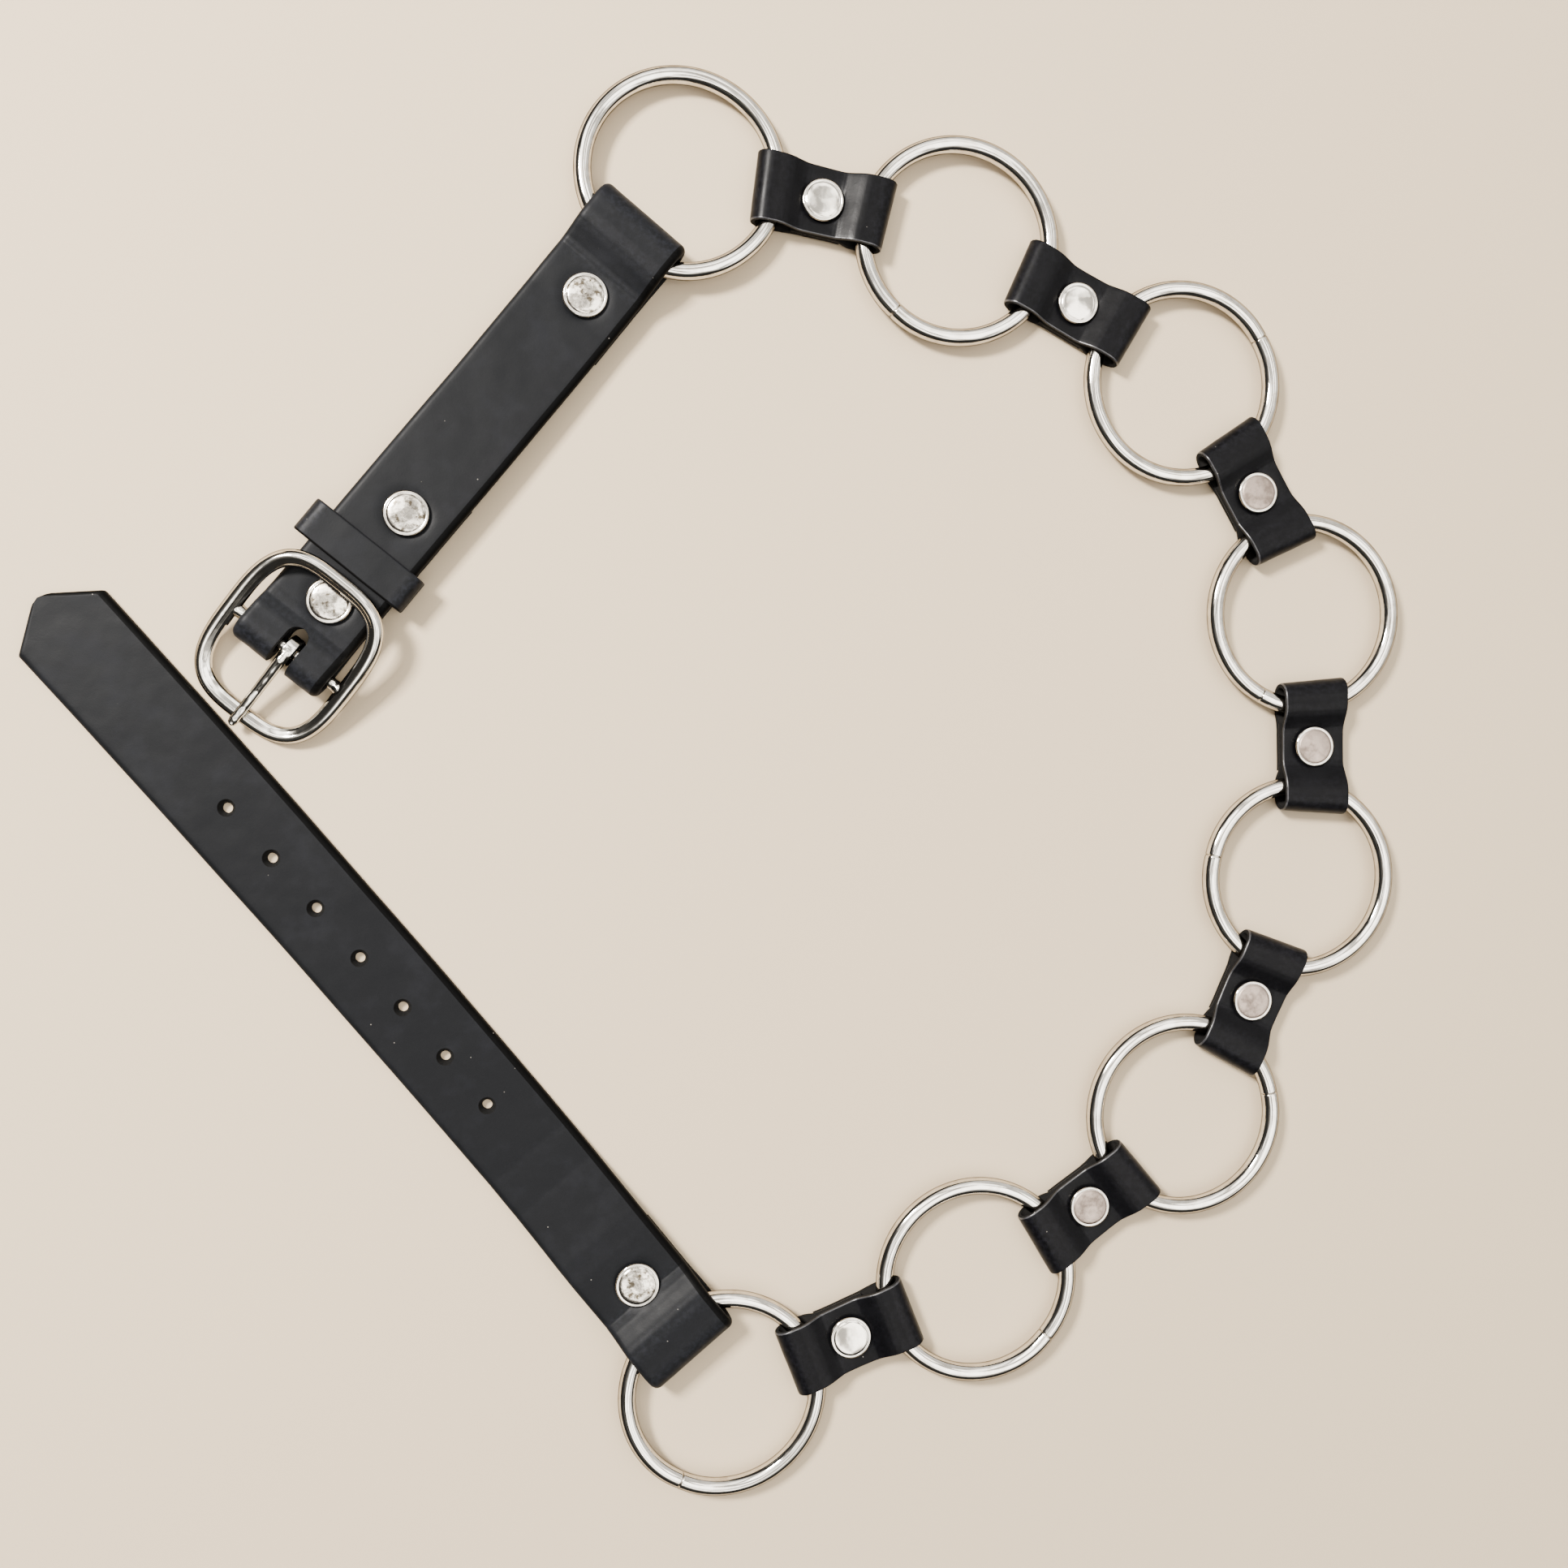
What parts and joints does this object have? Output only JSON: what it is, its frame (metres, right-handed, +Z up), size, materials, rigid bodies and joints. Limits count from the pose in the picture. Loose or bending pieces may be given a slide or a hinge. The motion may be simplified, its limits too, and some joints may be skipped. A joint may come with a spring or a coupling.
{
  "type": "leather ring belt",
  "caption": "Black leather belt of large steel rings joined by riveted leather tabs, with a centre-bar buckle, keeper and punched tongue.",
  "frame": {"origin": "middle of the belt's box, on the surface that it lies on", "axes": "+Z up from the surface; +Y along the longer side of the box, towards the ring at the buckle strap; +X towards the bow of rings"},
  "size_m": [0.3934, 0.4054, 0.0145],
  "materials": {
    "strap_leather": "matte black smooth grain leather, raw black edges",
    "tab_leather": "satin black leather",
    "ring_metal": "polished nickel plate on steel wire",
    "rivet_metal": "polished nickel-plated cap rivets",
    "buckle_metal": "polished nickel-plated cast buckle"
  },
  "bodies": {
    "belt": {"ring_1": "ring_metal", "ring_2": "ring_metal", "ring_3": "ring_metal", "ring_4": "ring_metal", "ring_5": "ring_metal", "ring_6": "ring_metal", "ring_7": "ring_metal", "ring_8": "ring_metal", "tab_1": "tab_leather", "tab_2": "tab_leather", "tab_3": "tab_leather", "tab_4": "tab_leather", "tab_5": "tab_leather", "tab_6": "tab_leather", "tab_7": "tab_leather", "tab_rivet_1": "rivet_metal", "tab_rivet_2": "rivet_metal", "tab_rivet_3": "rivet_metal", "tab_rivet_4": "rivet_metal", "tab_rivet_5": "rivet_metal", "tab_rivet_6": "rivet_metal", "tab_rivet_7": "rivet_metal", "buckle_strap": "strap_leather", "tongue_strap": "strap_leather", "keeper": "strap_leather", "buckle_strap_rivet_1": "rivet_metal", "buckle_strap_rivet_2": "rivet_metal", "buckle_strap_rivet_3": "rivet_metal", "tongue_rivet": "rivet_metal"},
    "buckle": {"buckle_frame": "buckle_metal"},
    "prong": {"prong": "buckle_metal"}
  },
  "joints": [
    {"name": "buckle_frame_hinge", "type": "hinge", "parent": "belt", "child": "buckle", "pos_m": [-0.12589, 0.03867, 0.0056], "axis": [0.7771, -0.6293, 0], "range_deg": [0, 60]},
    {"name": "prong_hinge", "type": "hinge", "parent": "buckle", "child": "prong", "pos_m": [-0.12589, 0.03867, 0.0056], "axis": [-0.7771, 0.6293, 0], "range_deg": [0, 120]}
  ]
}
